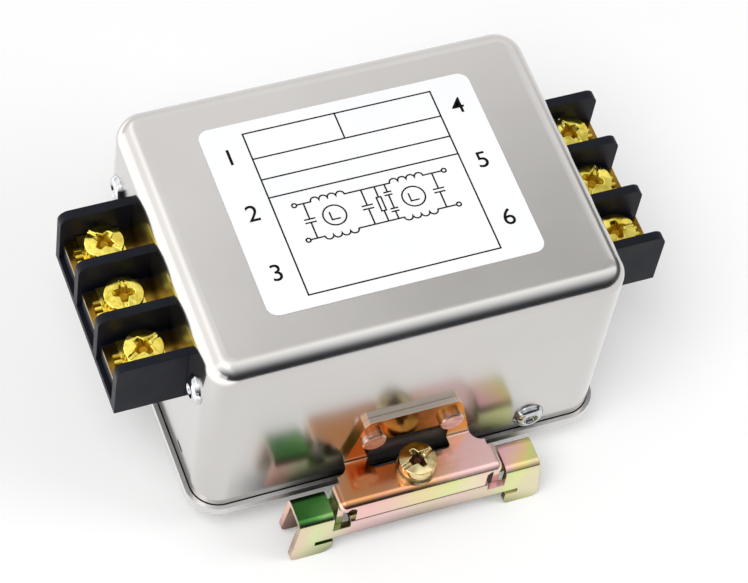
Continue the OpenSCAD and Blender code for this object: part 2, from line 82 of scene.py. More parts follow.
class FilterStageSettings(bpy.types.PropertyGroup):
    floor_colour: bpy.props.StringProperty(
        name="Floor colour", description="sRGB hex of the floor and backdrop", default="#F7F7F7")
    floor_size: bpy.props.FloatProperty(
        name="Floor size", description="Side of the square floor", default=2.4, min=0.5, unit="LENGTH")
    fill_level: bpy.props.FloatProperty(
        name="Fill", description="Strength of the even light all round", default=0.5, min=0.0)
    focal_length: bpy.props.FloatProperty(
        name="Focal length", description="Lens of the camera in millimetres", default=146.17, min=20.0)


class FilterFinishSettings(bpy.types.PropertyGroup):
    can: bpy.props.StringProperty(
        name="Can", description="Colour of the plated can", default="#C9C6C3")
    moulding: bpy.props.StringProperty(
        name="Blocks", description="Colour of the moulded terminal blocks", default="#0D0F18")
    brass: bpy.props.StringProperty(
        name="Strips", description="Colour of the brass strips", default="#A5822F")
    gold: bpy.props.StringProperty(
        name="Screws", description="Colour of the terminal screws and clamp plates", default="#F4E46E")
    aluminium: bpy.props.StringProperty(
        name="Rivets", description="Colour of the blind rivets", default="#D8D8D8")


class FilterLabelSettings(bpy.types.PropertyGroup):
    line_width: bpy.props.FloatProperty(
        name="Line width", description="Width of a printed line",
        default=0.27 * MM, min=0.1 * MM, unit="LENGTH")
    corner_radius: bpy.props.FloatProperty(
        name="Corner", description="Radius of the label's corners",
        default=2.0 * MM, min=0.5 * MM, unit="LENGTH")
    numeral_height: bpy.props.FloatProperty(
        name="Numeral height", description="Height of a terminal number",
        default=3.3 * MM, min=1.0 * MM, unit="LENGTH")
    ink_thickness: bpy.props.FloatProperty(
        name="Ink thickness", description="How far the print stands on the film",
        default=0.03 * MM, min=0.01 * MM, unit="LENGTH")


class FilterScrewSettings(bpy.types.PropertyGroup):
    head_diameter: bpy.props.FloatProperty(
        name="Head", description="Diameter of a terminal screw's head",
        default=6.8 * MM, min=5 * MM, unit="LENGTH")
    head_height: bpy.props.FloatProperty(
        name="Height", description="Height of a screw's head",
        default=2.9 * MM, min=1 * MM, unit="LENGTH")
    recess_depth: bpy.props.FloatProperty(
        name="Recess", description="Depth of a terminal screw's cross recess",
        default=1.6 * MM, min=0.5 * MM, unit="LENGTH")
    slot_depth: bpy.props.FloatProperty(
        name="Slot", description="Depth of the slot across the head",
        default=0.55 * MM, min=0.3 * MM, unit="LENGTH")
    thread_diameter: bpy.props.FloatProperty(
        name="Thread", description="Outer diameter of the thread",
        default=3.46 * MM, min=2 * MM, unit="LENGTH")
    poles: bpy.props.IntProperty(
        name="Poles", description="Terminals at each end of the filter", default=3, min=1, max=6)
    pole_pitch: bpy.props.FloatProperty(
        name="Pitch", description="Distance between neighbouring terminals",
        default=10.9 * MM, min=7 * MM, unit="LENGTH")


# ---------------------------------------------------------------- node helpers

def linear(hex_colour, alpha=1.0):
    """Turns an sRGB hex colour into linear RGBA."""
    out = []
    for i in (1, 3, 5):
        v = int(hex_colour[i:i + 2], 16) / 255
        out.append(v / 12.92 if v <= 0.04045 else ((v + 0.055) / 1.055) ** 2.4)
    return (*out, alpha)


def add(tree, kind, inputs=None, stops=(), **settings):
    """Adds one node with its inputs, its settings, and a colour ramp's stops of (position, hex).

    An input is a value, the socket it is linked from, or the node whose first output it is linked from.
    """
    node = tree.nodes.new(kind)
    for key, value in settings.items():
        setattr(node, key, value)
    for key, value in (inputs or {}).items():
        if isinstance(value, bpy.types.Node):
            value = value.outputs[0]
        if isinstance(value, bpy.types.NodeSocket):
            tree.links.new(value, node.inputs[key])
        else:
            node.inputs[key].default_value = value
    if stops:
        points = node.color_ramp.elements
        while len(points) > 1:
            points.remove(points[-1])
        for i, (place, colour) in enumerate(stops):
            point = points[0] if i == 0 else points.new(place)
            point.position = place
            point.color = linear(colour)
    return node


def new_material(name):
    """An empty node material and its tree."""
    material = bpy.data.materials.new(name)
    material.use_nodes = True
    material.node_tree.nodes.clear()
    return material, material.node_tree


def as_material(build):
    """Turns a function that builds a shader, at Object coordinates where, into one that makes a material."""
    def make(name, *values):
        material, tree = new_material(name)
        where = add(tree, "ShaderNodeTexCoord").outputs["Object"]
        add(tree, "ShaderNodeOutputMaterial", {"Surface": build(tree, where, *values)})
        return material
    return make


# ---------------------------------------------------------------- materials

def paint_shade_in_crevices(tree, tint, reach, low, high, darkest):
    """Paints shade into tint: darkens it where faces within reach leave less than high of its surroundings, to
    darkest at low.
    """
    nook = add(tree, "ShaderNodeAmbientOcclusion", {"Distance": reach}, samples=6)
    painted_shade = add(tree, "ShaderNodeMapRange",
               {"Value": nook.outputs["AO"], "From Min": low, "From Max": high,
                "To Min": darkest, "To Max": 1.0},
               interpolation_type="SMOOTHSTEP")
    return add(tree, "ShaderNodeMix", {0: 1.0, 6: tint, 7: painted_shade},
               data_type="RGBA", blend_type="MULTIPLY").outputs[2]


@as_material
def plated_drawn_steel(tree, where, colour, metallic=1.0):
    """Bright plated steel sheet after drawing: it mirrors its surroundings softly, with a faint haze."""
    haze = add(tree, "ShaderNodeTexNoise", {"Vector": where, "Scale": 45.0, "Detail": 3.0, "Roughness": 0.55})
    rough = add(tree, "ShaderNodeMapRange",
                {"Value": haze, "From Min": 0.3, "From Max": 0.7, "To Min": 0.16, "To Max": 0.21})
    tint = add(tree, "ShaderNodeValToRGB", {"Fac": haze}, [(0.3, colour), (0.7, "#CFCCC9")])
    # grain of the rolled sheet, drawn at 0.3 mm so that it shows
    grain = add(tree, "ShaderNodeTexNoise", {"Vector": where, "Scale": 3300.0, "Detail": 1.0})
    bump = add(tree, "ShaderNodeBump", {"Height": grain, "Strength": 0.02, "Distance": 0.0001})
    # painted shade: the tint is darkened in crevices, where ambient occlusion finds them,
    # and darkest behind the rail clip, where the clip's shadow falls on the can
    squeezed = add(tree, "ShaderNodeVectorMath", {0: where, 1: (0.55, 1.0, 1.0)}, operation="MULTIPLY")
    from_clip = add(tree, "ShaderNodeVectorMath", {0: squeezed, 1: (0.0, -0.031, 0.003)}, operation="DISTANCE")
    clip_shade_limit = add(tree, "ShaderNodeMapRange",
                {"Value": from_clip.outputs["Value"], "From Min": 0.007, "From Max": 0.016,
                 "To Min": 0.85, "To Max": 0.4}, interpolation_type="SMOOTHSTEP")
    return add(tree, "ShaderNodeBsdfPrincipled",
               {"Base Color": paint_shade_in_crevices(tree, tint, 0.009, 0.16, clip_shade_limit, 0.04),
                "Metallic": metallic, "Roughness": rough, "Normal": bump})


@as_material
def printed_film(tree, where):
    """White polyester label film: satin, very slightly uneven where it lies on the sheet."""
    wave = add(tree, "ShaderNodeTexNoise", {"Vector": where, "Scale": 60.0, "Detail": 2.0})
    bump = add(tree, "ShaderNodeBump", {"Height": wave, "Strength": 0.05, "Distance": 0.0002})
    tint = add(tree, "ShaderNodeValToRGB", {"Fac": wave}, [(0.3, "#F4F5F7"), (0.7, "#FAFAFB")])
    return add(tree, "ShaderNodeBsdfPrincipled",
               {"Base Color": tint, "Roughness": 0.42, "IOR": 1.5, "Normal": bump})


@as_material
def black_ink(tree, where):
    """Screen-printed black ink, matt."""
    speck = add(tree, "ShaderNodeTexNoise", {"Vector": where, "Scale": 2500.0, "Detail": 1.0})
    tint = add(tree, "ShaderNodeValToRGB", {"Fac": speck}, [(0.35, "#050506"), (0.7, "#0C0C0E")])
    return add(tree, "ShaderNodeBsdfPrincipled",
               {"Base Color": tint, "Roughness": 0.6, "IOR": 1.5, "Specular IOR Level": 0.1})


@as_material
def moulded_thermoset(tree, where, colour):
    """Black glass-filled moulding from a spark-eroded mould: fine matt grain with a cool sheen."""
    # grain of about 0.2 mm
    grain = add(tree, "ShaderNodeTexNoise", {"Vector": where, "Scale": 5000.0, "Detail": 2.0})
    bump = add(tree, "ShaderNodeBump", {"Height": grain, "Strength": 0.12, "Distance": 0.00005})
    cloud = add(tree, "ShaderNodeTexNoise", {"Vector": where, "Scale": 160.0, "Detail": 3.0})
    tint = add(tree, "ShaderNodeValToRGB", {"Fac": cloud}, [(0.3, colour), (0.75, "#151823")])
    rough = add(tree, "ShaderNodeMapRange",
                {"Value": cloud, "From Min": 0.3, "From Max": 0.7, "To Min": 0.42, "To Max": 0.55})
    return add(tree, "ShaderNodeBsdfPrincipled",
               {"Base Color": tint, "Roughness": rough, "IOR": 1.55, "Specular IOR Level": 0.12, "Normal": bump})


@as_material
def bright_metal(tree, where, colour, shade, roughness, scale, bump_strength=0.05):
    """Plain or plated metal with a mottled tint from colour to shade, and wear of about 1/scale metres."""
    mottle = add(tree, "ShaderNodeTexNoise", {"Vector": where, "Scale": scale, "Detail": 4.0, "Roughness": 0.6})
    tint = add(tree, "ShaderNodeValToRGB", {"Fac": mottle}, [(0.32, shade), (0.62, colour)])
    rough = add(tree, "ShaderNodeMapRange",
                {"Value": mottle, "From Min": 0.3, "From Max": 0.7,
                 "To Min": roughness * 0.8, "To Max": roughness * 1.25})
    bump = add(tree, "ShaderNodeBump", {"Height": mottle, "Strength": bump_strength, "Distance": 0.00008})
    return add(tree, "ShaderNodeBsdfPrincipled",
               {"Base Color": tint, "Metallic": 1.0, "Roughness": rough, "Normal": bump})


@as_material
def chromated_zinc(tree, where, up_stops, low_stops, high_stops, half_width, split, milky):
    """Zinc plate with a yellow chromate film.

    The film's colour runs through orange, yellow, green and pink along the sheet. Upper faces, lower sides and
    the sides above split have stops of their own.
    """
    axis = add(tree, "ShaderNodeSeparateXYZ", {"Vector": where}).outputs
    # the film's edge wanders by 1 to 2 mm and slants towards the front
    drift = add(tree, "ShaderNodeTexNoise",
                {"Vector": where, "Scale": 190.0, "Detail": 2.0, "Roughness": 0.5, "Distortion": 0.8})
    wander = add(tree, "ShaderNodeMapRange", {"Value": drift, "To Min": -0.11, "To Max": 0.11})
    along = add(tree, "ShaderNodeMapRange",
                {"Value": axis["X"], "From Min": -half_width, "From Max": half_width}, clamp=False)
    slant = add(tree, "ShaderNodeMapRange",
                {"Value": axis["Y"], "From Min": -0.038, "From Max": -0.032, "To Min": 0.04, "To Max": -0.04},
                clamp=False)
    film = add(tree, "ShaderNodeMath", {0: along, 1: wander}, operation="ADD")
    film = add(tree, "ShaderNodeMath", {0: film, 1: slant}, operation="ADD")
    low, high, up = (add(tree, "ShaderNodeValToRGB", {"Fac": film}, stops)
                     for stops in (low_stops, high_stops, up_stops))
    height = add(tree, "ShaderNodeMapRange",
                 {"Value": axis["Z"], "From Min": split, "From Max": split + 0.001},
                 interpolation_type="SMOOTHSTEP")
    normal = add(tree, "ShaderNodeNewGeometry").outputs["Normal"]
    upward = add(tree, "ShaderNodeSeparateXYZ", {"Vector": normal}).outputs["Z"]
    on_top = add(tree, "ShaderNodeMapRange",
                 {"Value": upward, "From Min": 0.45, "From Max": 0.85}, interpolation_type="SMOOTHSTEP")
    # bare beige cut edges along the top of an upright tongue
    edge = add(tree, "ShaderNodeMath", {0: height, 1: on_top}, operation="MULTIPLY")
    tint = low
    for share, laid_over in ((height, high), (on_top, up), (edge, linear("#D6C8BA"))):
        under = tint if tint is low else tint.outputs[2]
        tint = add(tree, "ShaderNodeMix", {0: share, 6: under, 7: laid_over}, data_type="RGBA")
    fine = add(tree, "ShaderNodeTexNoise", {"Vector": where, "Scale": 900.0, "Detail": 2.0})
    rough = add(tree, "ShaderNodeMapRange",
                {"Value": fine, "From Min": 0.3, "From Max": 0.7, "To Min": 0.12, "To Max": 0.17})
    # cut edges are worn round by 0.2 mm in the plating barrel
    worn = add(tree, "ShaderNodeBevel", {"Radius": 0.0002}, samples=4)
    bump = add(tree, "ShaderNodeBump", {"Height": fine, "Strength": 0.02, "Distance": 0.00008, "Normal": worn})
    # the film is thick and milky on top towards the right
    bloom = add(tree, "ShaderNodeMapRange",
                {"Value": film, "From Min": 0.45, "From Max": 0.75, "To Min": 0.0, "To Max": milky},
                interpolation_type="SMOOTHSTEP")
    bloom = add(tree, "ShaderNodeMath", {0: bloom, 1: on_top}, operation="MULTIPLY")
    metal = add(tree, "ShaderNodeMath", {0: 1.0, 1: bloom}, operation="SUBTRACT")
    # painted shade: the film's tint is darkened in creases and corners, where ambient occlusion finds them
    return add(tree, "ShaderNodeBsdfPrincipled",
               {"Base Color": paint_shade_in_crevices(tree, tint.outputs[2], 0.003, 0.08, 0.34, 0.15),
                "Metallic": metal, "Roughness": rough, "Normal": bump})


@as_material
def coated(tree, where, colour, shade, roughness, scale, coat=0.0):
    """A lacquered, moulded or insulated part: a slight cloud in its colour, and a coat where it was dipped."""
    cloud = add(tree, "ShaderNodeTexNoise", {"Vector": where, "Scale": scale, "Detail": 2.0})
    tint = add(tree, "ShaderNodeValToRGB", {"Fac": cloud}, [(0.35, shade), (0.65, colour)])
    bump = add(tree, "ShaderNodeBump", {"Height": cloud, "Strength": 0.08, "Distance": 0.0001})
    return add(tree, "ShaderNodeBsdfPrincipled",
               {"Base Color": tint, "Roughness": roughness, "IOR": 1.5,
                "Coat Weight": coat, "Coat Roughness": 0.15, "Normal": bump})


@as_material
def striped_insulation(tree, where):
    """Green PVC insulation with a yellow stripe, as on an earth lead: stripes 1.5 mm wide."""
    stripe = add(tree, "ShaderNodeTexWave", {"Vector": where, "Scale": 330.0}, bands_direction="X")
    tint = add(tree, "ShaderNodeValToRGB", {"Fac": stripe.outputs["Fac"]}, [(0.0, "#4E9A2E"), (0.55, "#E8D22A")])
    tint.color_ramp.interpolation = "CONSTANT"
    return add(tree, "ShaderNodeBsdfPrincipled", {"Base Color": tint, "Roughness": 0.4, "IOR": 1.53})


@as_material
def stamped_head_metal(tree, where, colour, shade, recess_shade, roughness):
    """A plated screw: bright stamped head with slight facets, and a recess darkened to colour recess_shade,
    partly thinner plating and partly painted shade.
    """
    mottle = add(tree, "ShaderNodeTexNoise", {"Vector": where, "Scale": 520.0, "Detail": 3.0, "Roughness": 0.6})
    tint = add(tree, "ShaderNodeValToRGB", {"Fac": mottle}, [(0.32, shade), (0.6, colour)])
    sunk = add(tree, "ShaderNodeAttribute", attribute_name="sunk").outputs["Fac"]
    # painted shade with thinner plating: the tint darkens towards recess_shade deeper in the recess and slot
    share = add(tree, "ShaderNodeMapRange",
                {"Value": sunk, "From Min": 0.35, "From Max": 1.0}, interpolation_type="SMOOTHSTEP")
    recess_shaded_tint = add(tree, "ShaderNodeMix", {0: share, 6: tint, 7: linear(recess_shade)}, data_type="RGBA")
    rough = add(tree, "ShaderNodeMapRange", {"Value": share, "To Min": roughness, "To Max": 0.5})
    facets = add(tree, "ShaderNodeTexVoronoi", {"Vector": where, "Scale": 520.0, "Smoothness": 0.8},
                 feature="SMOOTH_F1")
    bump = add(tree, "ShaderNodeBump",
               {"Height": facets.outputs["Distance"], "Strength": 0.8, "Distance": 0.0002})
    return add(tree, "ShaderNodeBsdfPrincipled",
               {"Base Color": recess_shaded_tint.outputs[2], "Metallic": 1.0, "Roughness": rough, "Normal": bump})


def glowing(name, colour, strength):
    """A lamp face or a dim wall: it only gives light."""
    material, tree = new_material(name)
    light = add(tree, "ShaderNodeEmission", {"Color": linear(colour), "Strength": strength})
    add(tree, "ShaderNodeOutputMaterial", {"Surface": light})
    return material


# ---------------------------------------------------------------- objects and meshes

def dress(node, material):
    """Gives a CAD node its material."""
    obj = NODES[node]
    obj.data.materials.clear()
    obj.data.materials.append(material)


def new_mesh_object(name, mesh, material):
    obj = bpy.data.objects.new(name, mesh)
    bpy.context.scene.collection.objects.link(obj)
    mesh.materials.clear()
    mesh.materials.append(material)
    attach(obj, BODY)
    return obj


def closed_mesh(name, mesh):
    """Turns a bmesh into a mesh and frees it."""
    data = bpy.data.meshes.new(name)
    mesh.to_mesh(data)
    mesh.free()
    return data


def turned_mesh(name, profile, around):
    """A smooth closed mesh round z from a profile of (radius, height).

    The first and last radius are 0. A height may be a function of x and y.
    """
    mesh = bmesh.new()
    rings = []
    for r, z in profile:
        turns = [2 * math.pi * i / around for i in range(around if r else 1)]
        points = [(r * math.cos(a), r * math.sin(a)) for a in turns]
        rings.append([mesh.verts.new((x, y, z(x, y) if callable(z) else z)) for x, y in points])
    for inner, outer in zip(rings, rings[1:]):
        for i in range(around):
            corners = [ring[k % len(ring)]
                       for ring, k in ((inner, i), (outer, i), (outer, i + 1), (inner, i + 1))]
            # a ring of one vertex makes a triangle
            mesh.faces.new(list(dict.fromkeys(corners))).smooth = True
    bmesh.ops.recalc_face_normals(mesh, faces=mesh.faces)
    return closed_mesh(name, mesh)


# ---------------------------------------------------------------- label print

def ribbon(mesh, points, width, z, thickness, closed=False):
    """Adds a printed line through points, mitred at its corners, as a thin closed strip."""
    pts = [Vector((x, y, 0)) for x, y in points]
    n = len(pts)
    rings = []
    for i, p in enumerate(pts):
        a = (p - pts[i - 1]).normalized() if i or closed else None
        b = (pts[(i + 1) % n] - p).normalized() if i < n - 1 or closed else None
        run = (a + b).normalized() if a is not None and b is not None and (a + b).length > 1e-6 else (b or a)
        normal = Vector((-run.y, run.x, 0))
        stretch = 1.0 if a is None or b is None else 1.0 / max(0.4, normal.dot(Vector((-a.y, a.x, 0))))
        left, right = p + normal * width / 2 * stretch, p - normal * width / 2 * stretch
        corners = ((left, z), (right, z), (right, z + thickness), (left, z + thickness))
        rings.append([mesh.verts.new((v.x, v.y, h)) for v, h in corners])
    for i in range(n if closed else n - 1):
        r0, r1 = rings[i], rings[(i + 1) % n]
        for k in range(4):
            mesh.faces.new((r0[k], r0[(k + 1) % 4], r1[(k + 1) % 4], r1[k]))
    if not closed:
        mesh.faces.new(rings[0][::-1])
        mesh.faces.new(rings[-1])


def arc(cx, cy, r, a0, a1, steps=12):
    """Points along an arc from a0 to a1 degrees."""
    turns = [math.radians(a0 + (a1 - a0) * i / steps) for i in range(steps + 1)]
    return [(cx + r * math.cos(a), cy + r * math.sin(a)) for a in turns]


def humps(x0, x1, y, count, up):
    """A coil drawn as a row of half circles."""
    r = (x1 - x0) / count / 2
    line = []
    for i in range(count):
        part = arc(x0 + r * (2 * i + 1), y, r, 180, 0 if up else 360, 8)
        line += part if not line else part[1:]
    return line


def label_lines():
    """The open and the closed lines of the print, in millimetres from the label's middle.

    They are a frame with four empty rows and the circuit of a two-stage filter.
    """
    wide, high = 17.0, 16.8
    rows = (11.4, 7.0, 3.2)
    frame_line = [(-wide, -high), (wide, -high), (wide, high), (-wide, high)]
    single = [[(-wide, y), (wide, y)] for y in rows]
    single.append([(-0.5, rows[0]), (-0.5, high)])
    # two rails with a choke in each stage
    upper, lower = 0.6, -6.6
    mid = (upper + lower) / 2
    for y, bulge_up in ((upper, True), (lower, False)):
        for x0, x1, x2, x3 in ((-13, -10.5, -4.5, -3), (-3, 3.6, 9.6, 13)):
            single.append([(x0, y), (x1, y)] + humps(x1, x2, y, 4, bulge_up)[1:] + [(x3, y)])
    pair, bleed = 2.6, 0.8
    for rail, s in ((upper, 1), (lower, -1)):
        # three capacitors across the rails
        plate = mid + 0.35 * s
        for x in (-11.8, -1.6, 11.2):
            single += [[(x, rail), (x, plate)], [(x - 1.0, plate), (x + 1.0, plate)]]
        # the leads of the resistor across the middle
        single.append([(bleed, rail), (bleed, mid + 1.4 * s)])
        # a pair of capacitors to earth
        y = mid + 1.7 * s
        single += [[(pair, rail), (pair, y + 0.3 * s)], [(pair, y - 0.3 * s), (pair, mid)]]
        single += [[(pair - 0.7, y + gap), (pair + 0.7, y + gap)] for gap in (0.3, -0.3)]
    closed = [frame_line]
    closed.append([(bleed + 0.4 * a, mid + 1.4 * b) for a, b in ((-1, 1), (1, 1), (1, -1), (-1, -1))])
    # circles round the chokes' core mark, and one at each terminal
    for x in (-7.5, 6.6):
        closed.append(arc(x, mid, 2.0, 0, 345, 22))
        single.append([(x - 0.7, mid + 0.8), (x - 0.7, mid - 0.8), (x + 0.8, mid - 0.8)])
    closed += [arc(x, y, 0.4, 0, 330, 11) for x in (-13.4, 13.4) for y in (upper, lower)]
    return single, closed


def numerals():
    """Plain terminal numbers beside the frame: text, and place in millimetres from the label's middle."""
    return [(text, x, y) for x, row in ((-20.6, "123"), (20.6, "456"))
            for text, y in zip(row, (12.6, 0.8, -11.4))]


# ---------------------------------------------------------------- screws and rivets

def soft_min(a, b, k):
    """The lower of two heights, blended over k."""
    h = max(0.0, min(1.0, 0.5 + 0.5 * (b - a) / k))
    return b + (a - b) * h - k * h * (1 - h)


def dome_height(r, d, h):
    """Height of a pan head's dome at radius r."""
    return h - HEAD_DOME * d + math.sqrt(max(0.0, (HEAD_DOME * d) ** 2 - r ** 2))


def head_surface(x, y, d, h, recess, slot, turn):
    """Height of a pan head's upper side: a dome with a round shoulder, a tapered cross recess and a slot."""
    r = math.hypot(x, y)
    top = dome_height(r, d, h)
    over = r - (d / 2 - HEAD_SHOULDER)
    if over > 0:
        shoulder = h - HEAD_SHOULDER + math.sqrt(max(0.0, HEAD_SHOULDER ** 2 - over ** 2))
        top = soft_min(top, shoulder, 0.1 * MM)
    # the recess and slot have steep walls, and edges that the stamp has rounded
    steep, rounding = 7.0, 0.16 * MM
    cone = h - recess + max(0.0, r - 0.1 * d) * recess / (0.2 * d)
    arm_half = 0.11 * d * (1 - 0.45 * r / (0.36 * d))
    low = top
    aside = []
    for arm in (0, 90):
        a = math.radians(turn + arm)
        aside.append(abs(-x * math.sin(a) + y * math.cos(a)))
        low = soft_min(low, cone + max(0.0, aside[-1] - arm_half) * steep, rounding)
    # the slot's floor falls less than the dome does, so the slot runs out shallow at the rim
    floor = h - slot - 0.02 * d * (r / (0.5 * d)) ** 2
    return soft_min(low, floor + max(0.0, aside[0] - 0.3 * MM) * steep, rounding)


def screw_mesh(name, d, h, recess, slot, thread_d, length, turn=0.0):
    """A pan-head machine screw with its bearing face at z = 0."""
    across = 34

    def top(x, y):
        return head_surface(x, y, d, h, recess, slot, turn)

    # finer rings towards the shoulder
    profile = [(0.0, top)] + [(d / 2 * (1 - (1 - j / across) ** 1.25), top) for j in range(1, across + 1)]
    outer, pitch = thread_d / 2, 0.6 * MM
    root = outer - 0.33 * MM
    profile += [(d / 2, 0.5 * (h - HEAD_SHOULDER)), (d / 2, 0.1 * MM), (d / 2 - 0.1 * MM, 0.0),
                (outer, 0.0), (root, -0.35 * MM)]
    z = -0.6 * MM
    while z > -length + 1.4 * pitch:
        profile += [(root, z), (outer, z - 0.35 * pitch), (outer, z - 0.5 * pitch), (root, z - 0.85 * pitch)]
        z -= pitch
    profile += [(root, -length + 0.4 * MM), (root - 0.4 * MM, -length), (0.0, -length)]
    data = turned_mesh(name, profile, 128)
    # how deep a point lies in the recess or slot, for the painted shade and thinner plating there
    sunk = data.attributes.new("sunk", "FLOAT", "POINT")
    for i, vertex in enumerate(data.vertices):
        x, y, z = vertex.co
        r = math.hypot(x, y)
        if z > 0.3 * h and r < d / 2 - 0.5 * MM:
            sunk.data[i].value = min(1.0, max(0.0, (dome_height(r, d, h) - z) / (0.7 * recess)))
    return data


def plate_teeth_mesh(name, start, end, pitch, width, height):
    """Three pressed teeth at the outer edge of a clamp plate, along x, with eased edges."""
    mesh = bmesh.new()
    size = Matrix.Diagonal((end - start, width, height, 1.0))
    for row in (-1, 0, 1):
        centre = Matrix.Translation(((start + end) / 2, row * pitch, height / 2))
        bmesh.ops.create_cube(mesh, size=1.0, matrix=centre @ size)
    bmesh.ops.bevel(mesh, geom=mesh.edges[:], offset=0.12 * MM, segments=2, affect="EDGES")
    return closed_mesh(name, mesh)


def blind_rivet_mesh(name, flange_r, rise, shank_r, grip):
    """A set blind rivet along z with its bearing face at z = 0.

    It has a domed head, the mandrel's end in its hole, and the upset tail behind the sheets.
    """
    hole = 0.42 * flange_r
    rim = hole * 1.15
    profile = [(0.0, rise * 0.5), (hole * 0.7, rise * 0.52), (hole * 0.82, rise * 0.42),
               (hole * 0.9, rise * 0.42), (hole, rise * 0.86), (rim, rise)]
    for degrees in range(80, 0, -10):
        a = math.radians(degrees)
        profile.append((rim + (flange_r * 0.93 - rim) * math.cos(a), rise * (0.2 + 0.8 * math.sin(a))))
    profile += [(flange_r, rise * 0.16), (flange_r, 0.04 * MM), (flange_r - 0.04 * MM, 0.0),
                (shank_r, 0.0), (shank_r, -grip)]
    for wider, behind in ((1.28, 0.3), (1.32, 1.1), (1.05, 1.9), (0.0, 2.0)):
        profile.append((shank_r * wider, -grip - behind * MM))
    return turned_mesh(name, profile, 64)


def terminal_repeat_tree():
    """Geometry nodes that set one piece at every terminal of both ends.

    Each copy is turned by Turn Step more than the last, and those of the line end by End Turn as well.
    """
    tree = bpy.data.node_groups.new("repeat_at_terminals", "GeometryNodeTree")
    face = tree.interface
    face.new_socket("Geometry", in_out="INPUT", socket_type="NodeSocketGeometry")
    face.new_socket("Poles", in_out="INPUT", socket_type="NodeSocketInt")
    for name in ("Pole Pitch", "End Span", "Seat Height", "First Turn", "Turn Step", "End Turn"):
        face.new_socket(name, in_out="INPUT", socket_type="NodeSocketFloat")
    face.new_socket("Finish", in_out="INPUT", socket_type="NodeSocketMaterial")
    face.new_socket("Geometry", in_out="OUTPUT", socket_type="NodeSocketGeometry")
    given = add(tree, "NodeGroupInput").outputs
    gaps = add(tree, "ShaderNodeMath", {0: given["Poles"], 1: 1.0}, operation="SUBTRACT")
    width = add(tree, "ShaderNodeMath", {0: gaps, 1: given["Pole Pitch"]}, operation="MULTIPLY")
    first_y = add(tree, "ShaderNodeMath", {0: width, 1: -0.5}, operation="MULTIPLY")
    step = add(tree, "ShaderNodeCombineXYZ", {"Y": given["Pole Pitch"]})
    rows = []
    for side in (-0.5, 0.5):
        x = add(tree, "ShaderNodeMath", {0: given["End Span"], 1: side}, operation="MULTIPLY")
        start = add(tree, "ShaderNodeCombineXYZ", {"X": x, "Y": first_y, "Z": given["Seat Height"]})
        rows.append(add(tree, "GeometryNodeMeshLine",
                        {"Count": given["Poles"], "Start Location": start, "Offset": step}))
    joined = add(tree, "GeometryNodeJoinGeometry")
    for row in reversed(rows):
        tree.links.new(row.outputs["Mesh"], joined.inputs["Geometry"])
    place = add(tree, "GeometryNodeInputIndex")
    turn = add(tree, "ShaderNodeMath", {0: place, 1: given["Turn Step"], 2: given["First Turn"]},
               operation="MULTIPLY_ADD")
    at_line_end = add(tree, "FunctionNodeCompare", {2: place, 3: given["Poles"]},
                      data_type="INT", operation="LESS_THAN")
    turn = add(tree, "ShaderNodeMath", {0: at_line_end, 1: given["End Turn"], 2: turn}, operation="MULTIPLY_ADD")
    spin = add(tree, "ShaderNodeCombineXYZ", {"Z": turn})
    copies = add(tree, "GeometryNodeInstanceOnPoints",
                 {"Points": joined, "Instance": given["Geometry"], "Rotation": spin})
    solid = add(tree, "GeometryNodeRealizeInstances", {"Geometry": copies})
    dressed = add(tree, "GeometryNodeSetMaterial", {"Geometry": solid, "Material": given["Finish"]})
    add(tree, "NodeGroupOutput", {"Geometry": dressed})
    return tree


def grow(obj, tree, values):
    """Runs a geometry node tree on an object with its named inputs set, and keeps the result as its mesh."""
    bpy.context.scene.collection.objects.link(obj)
    modifier = obj.modifiers.new("repeat", "NODES")
    modifier.node_group = tree
    for item in tree.interface.items_tree:
        if item.item_type == "SOCKET" and item.in_out == "INPUT" and item.name in values:
            modifier[item.identifier] = values[item.name]
    obj.update_tag()
    bpy.context.view_layer.update()
    mesh = bpy.data.meshes.new_from_object(obj.evaluated_get(bpy.context.evaluated_depsgraph_get()))
    obj.modifiers.clear()
    obj.data = mesh
    return obj


# ---------------------------------------------------------------- stage

@as_material
def white_paper_floor(tree, where, colour):
    """Matt white paper. Polished metal sees it brighter far to the left, and dark under the rail clip."""
    ray = add(tree, "ShaderNodeLightPath").outputs
    axis = add(tree, "ShaderNodeSeparateXYZ", {"Vector": where}).outputs
    left = add(tree, "ShaderNodeMapRange",
               {"Value": axis["X"], "From Min": -0.100, "From Max": -0.052, "To Min": 1.8, "To Max": 1.03},
               interpolation_type="SMOOTHSTEP")
    clip = add(tree, "ShaderNodeVectorMath", {0: where, 1: (30.0, 105.0, 0.0), 2: (0.0, 3.45, 0.0)},
               operation="MULTIPLY_ADD")
    away = add(tree, "ShaderNodeVectorMath", {0: clip}, operation="LENGTH").outputs["Value"]
    shadow = add(tree, "ShaderNodeMapRange",
                 {"Value": away, "From Min": 0.55, "From Max": 1.0, "To Min": 0.06, "To Max": 1.0},
                 interpolation_type="SMOOTHSTEP")
    level = add(tree, "ShaderNodeMath", {0: left, 1: shadow}, operation="MULTIPLY")
    paper = add(tree, "ShaderNodeBsdfDiffuse", {"Color": linear(colour)})
    glow = add(tree, "ShaderNodeEmission", {"Color": linear(WHITE), "Strength": 0.08})
    lit = add(tree, "ShaderNodeAddShader", {0: paper, 1: glow})
    seen = add(tree, "ShaderNodeMixShader", {0: ray["Is Camera Ray"], 1: paper, 2: lit})
    mirror = add(tree, "ShaderNodeEmission", {"Color": linear(WHITE), "Strength": level})
    return add(tree, "ShaderNodeMixShader", {0: ray["Is Glossy Ray"], 1: seen, 2: mirror})


